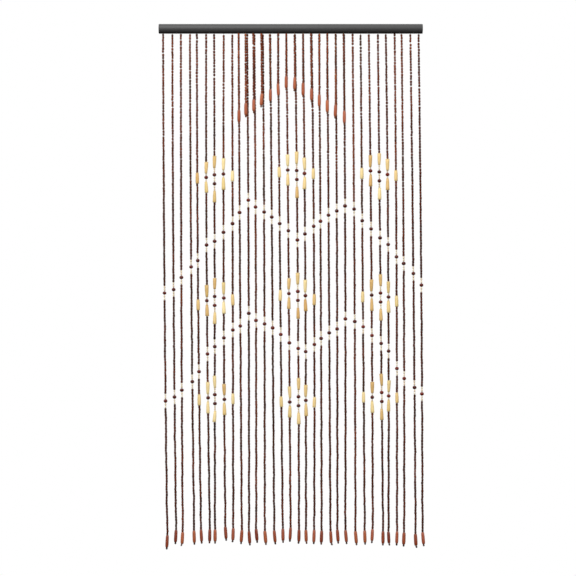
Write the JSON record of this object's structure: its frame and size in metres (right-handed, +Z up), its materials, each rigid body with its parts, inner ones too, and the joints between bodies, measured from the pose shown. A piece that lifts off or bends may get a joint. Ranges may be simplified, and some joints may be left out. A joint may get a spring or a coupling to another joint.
{
  "type": "bead curtain on its rail",
  "caption": "Doorway curtain of wooden bead strings hanging from a plain rail, with shorter strings in front, zigzag lines and diamonds of larger beads, and a drop on every string.",
  "frame": {"origin": "centre of the flat part of the rail's top, behind its half-round front", "axes": "+Z up, out of the rail's top face; +X along the rail, to the right as seen from the front; -Y out of the front, on the side of the short strings"},
  "size_m": [1.0086, 0.03, 1.9905],
  "materials": {
    "rail_paint": "dark grey paint, satin, with a fine grain just showing under it",
    "dark_beads": "dark red-brown and grey-brown stain, satin",
    "round_beads": "maroon lacquer, semi-gloss",
    "pale_beads": "cream lacquer, satin",
    "pale_barrels": "natural pale bamboo, satin, with fine long grain",
    "stained_drops": "orange-brown to red-brown stain, satin, with long grain",
    "cord": "thin twisted tan cord, matt"
  },
  "bodies": {
    "root": {"rail": "rail_paint", "long_strings": "dark_beads", "short_strings": "dark_beads"}
  },
  "joints": []
}
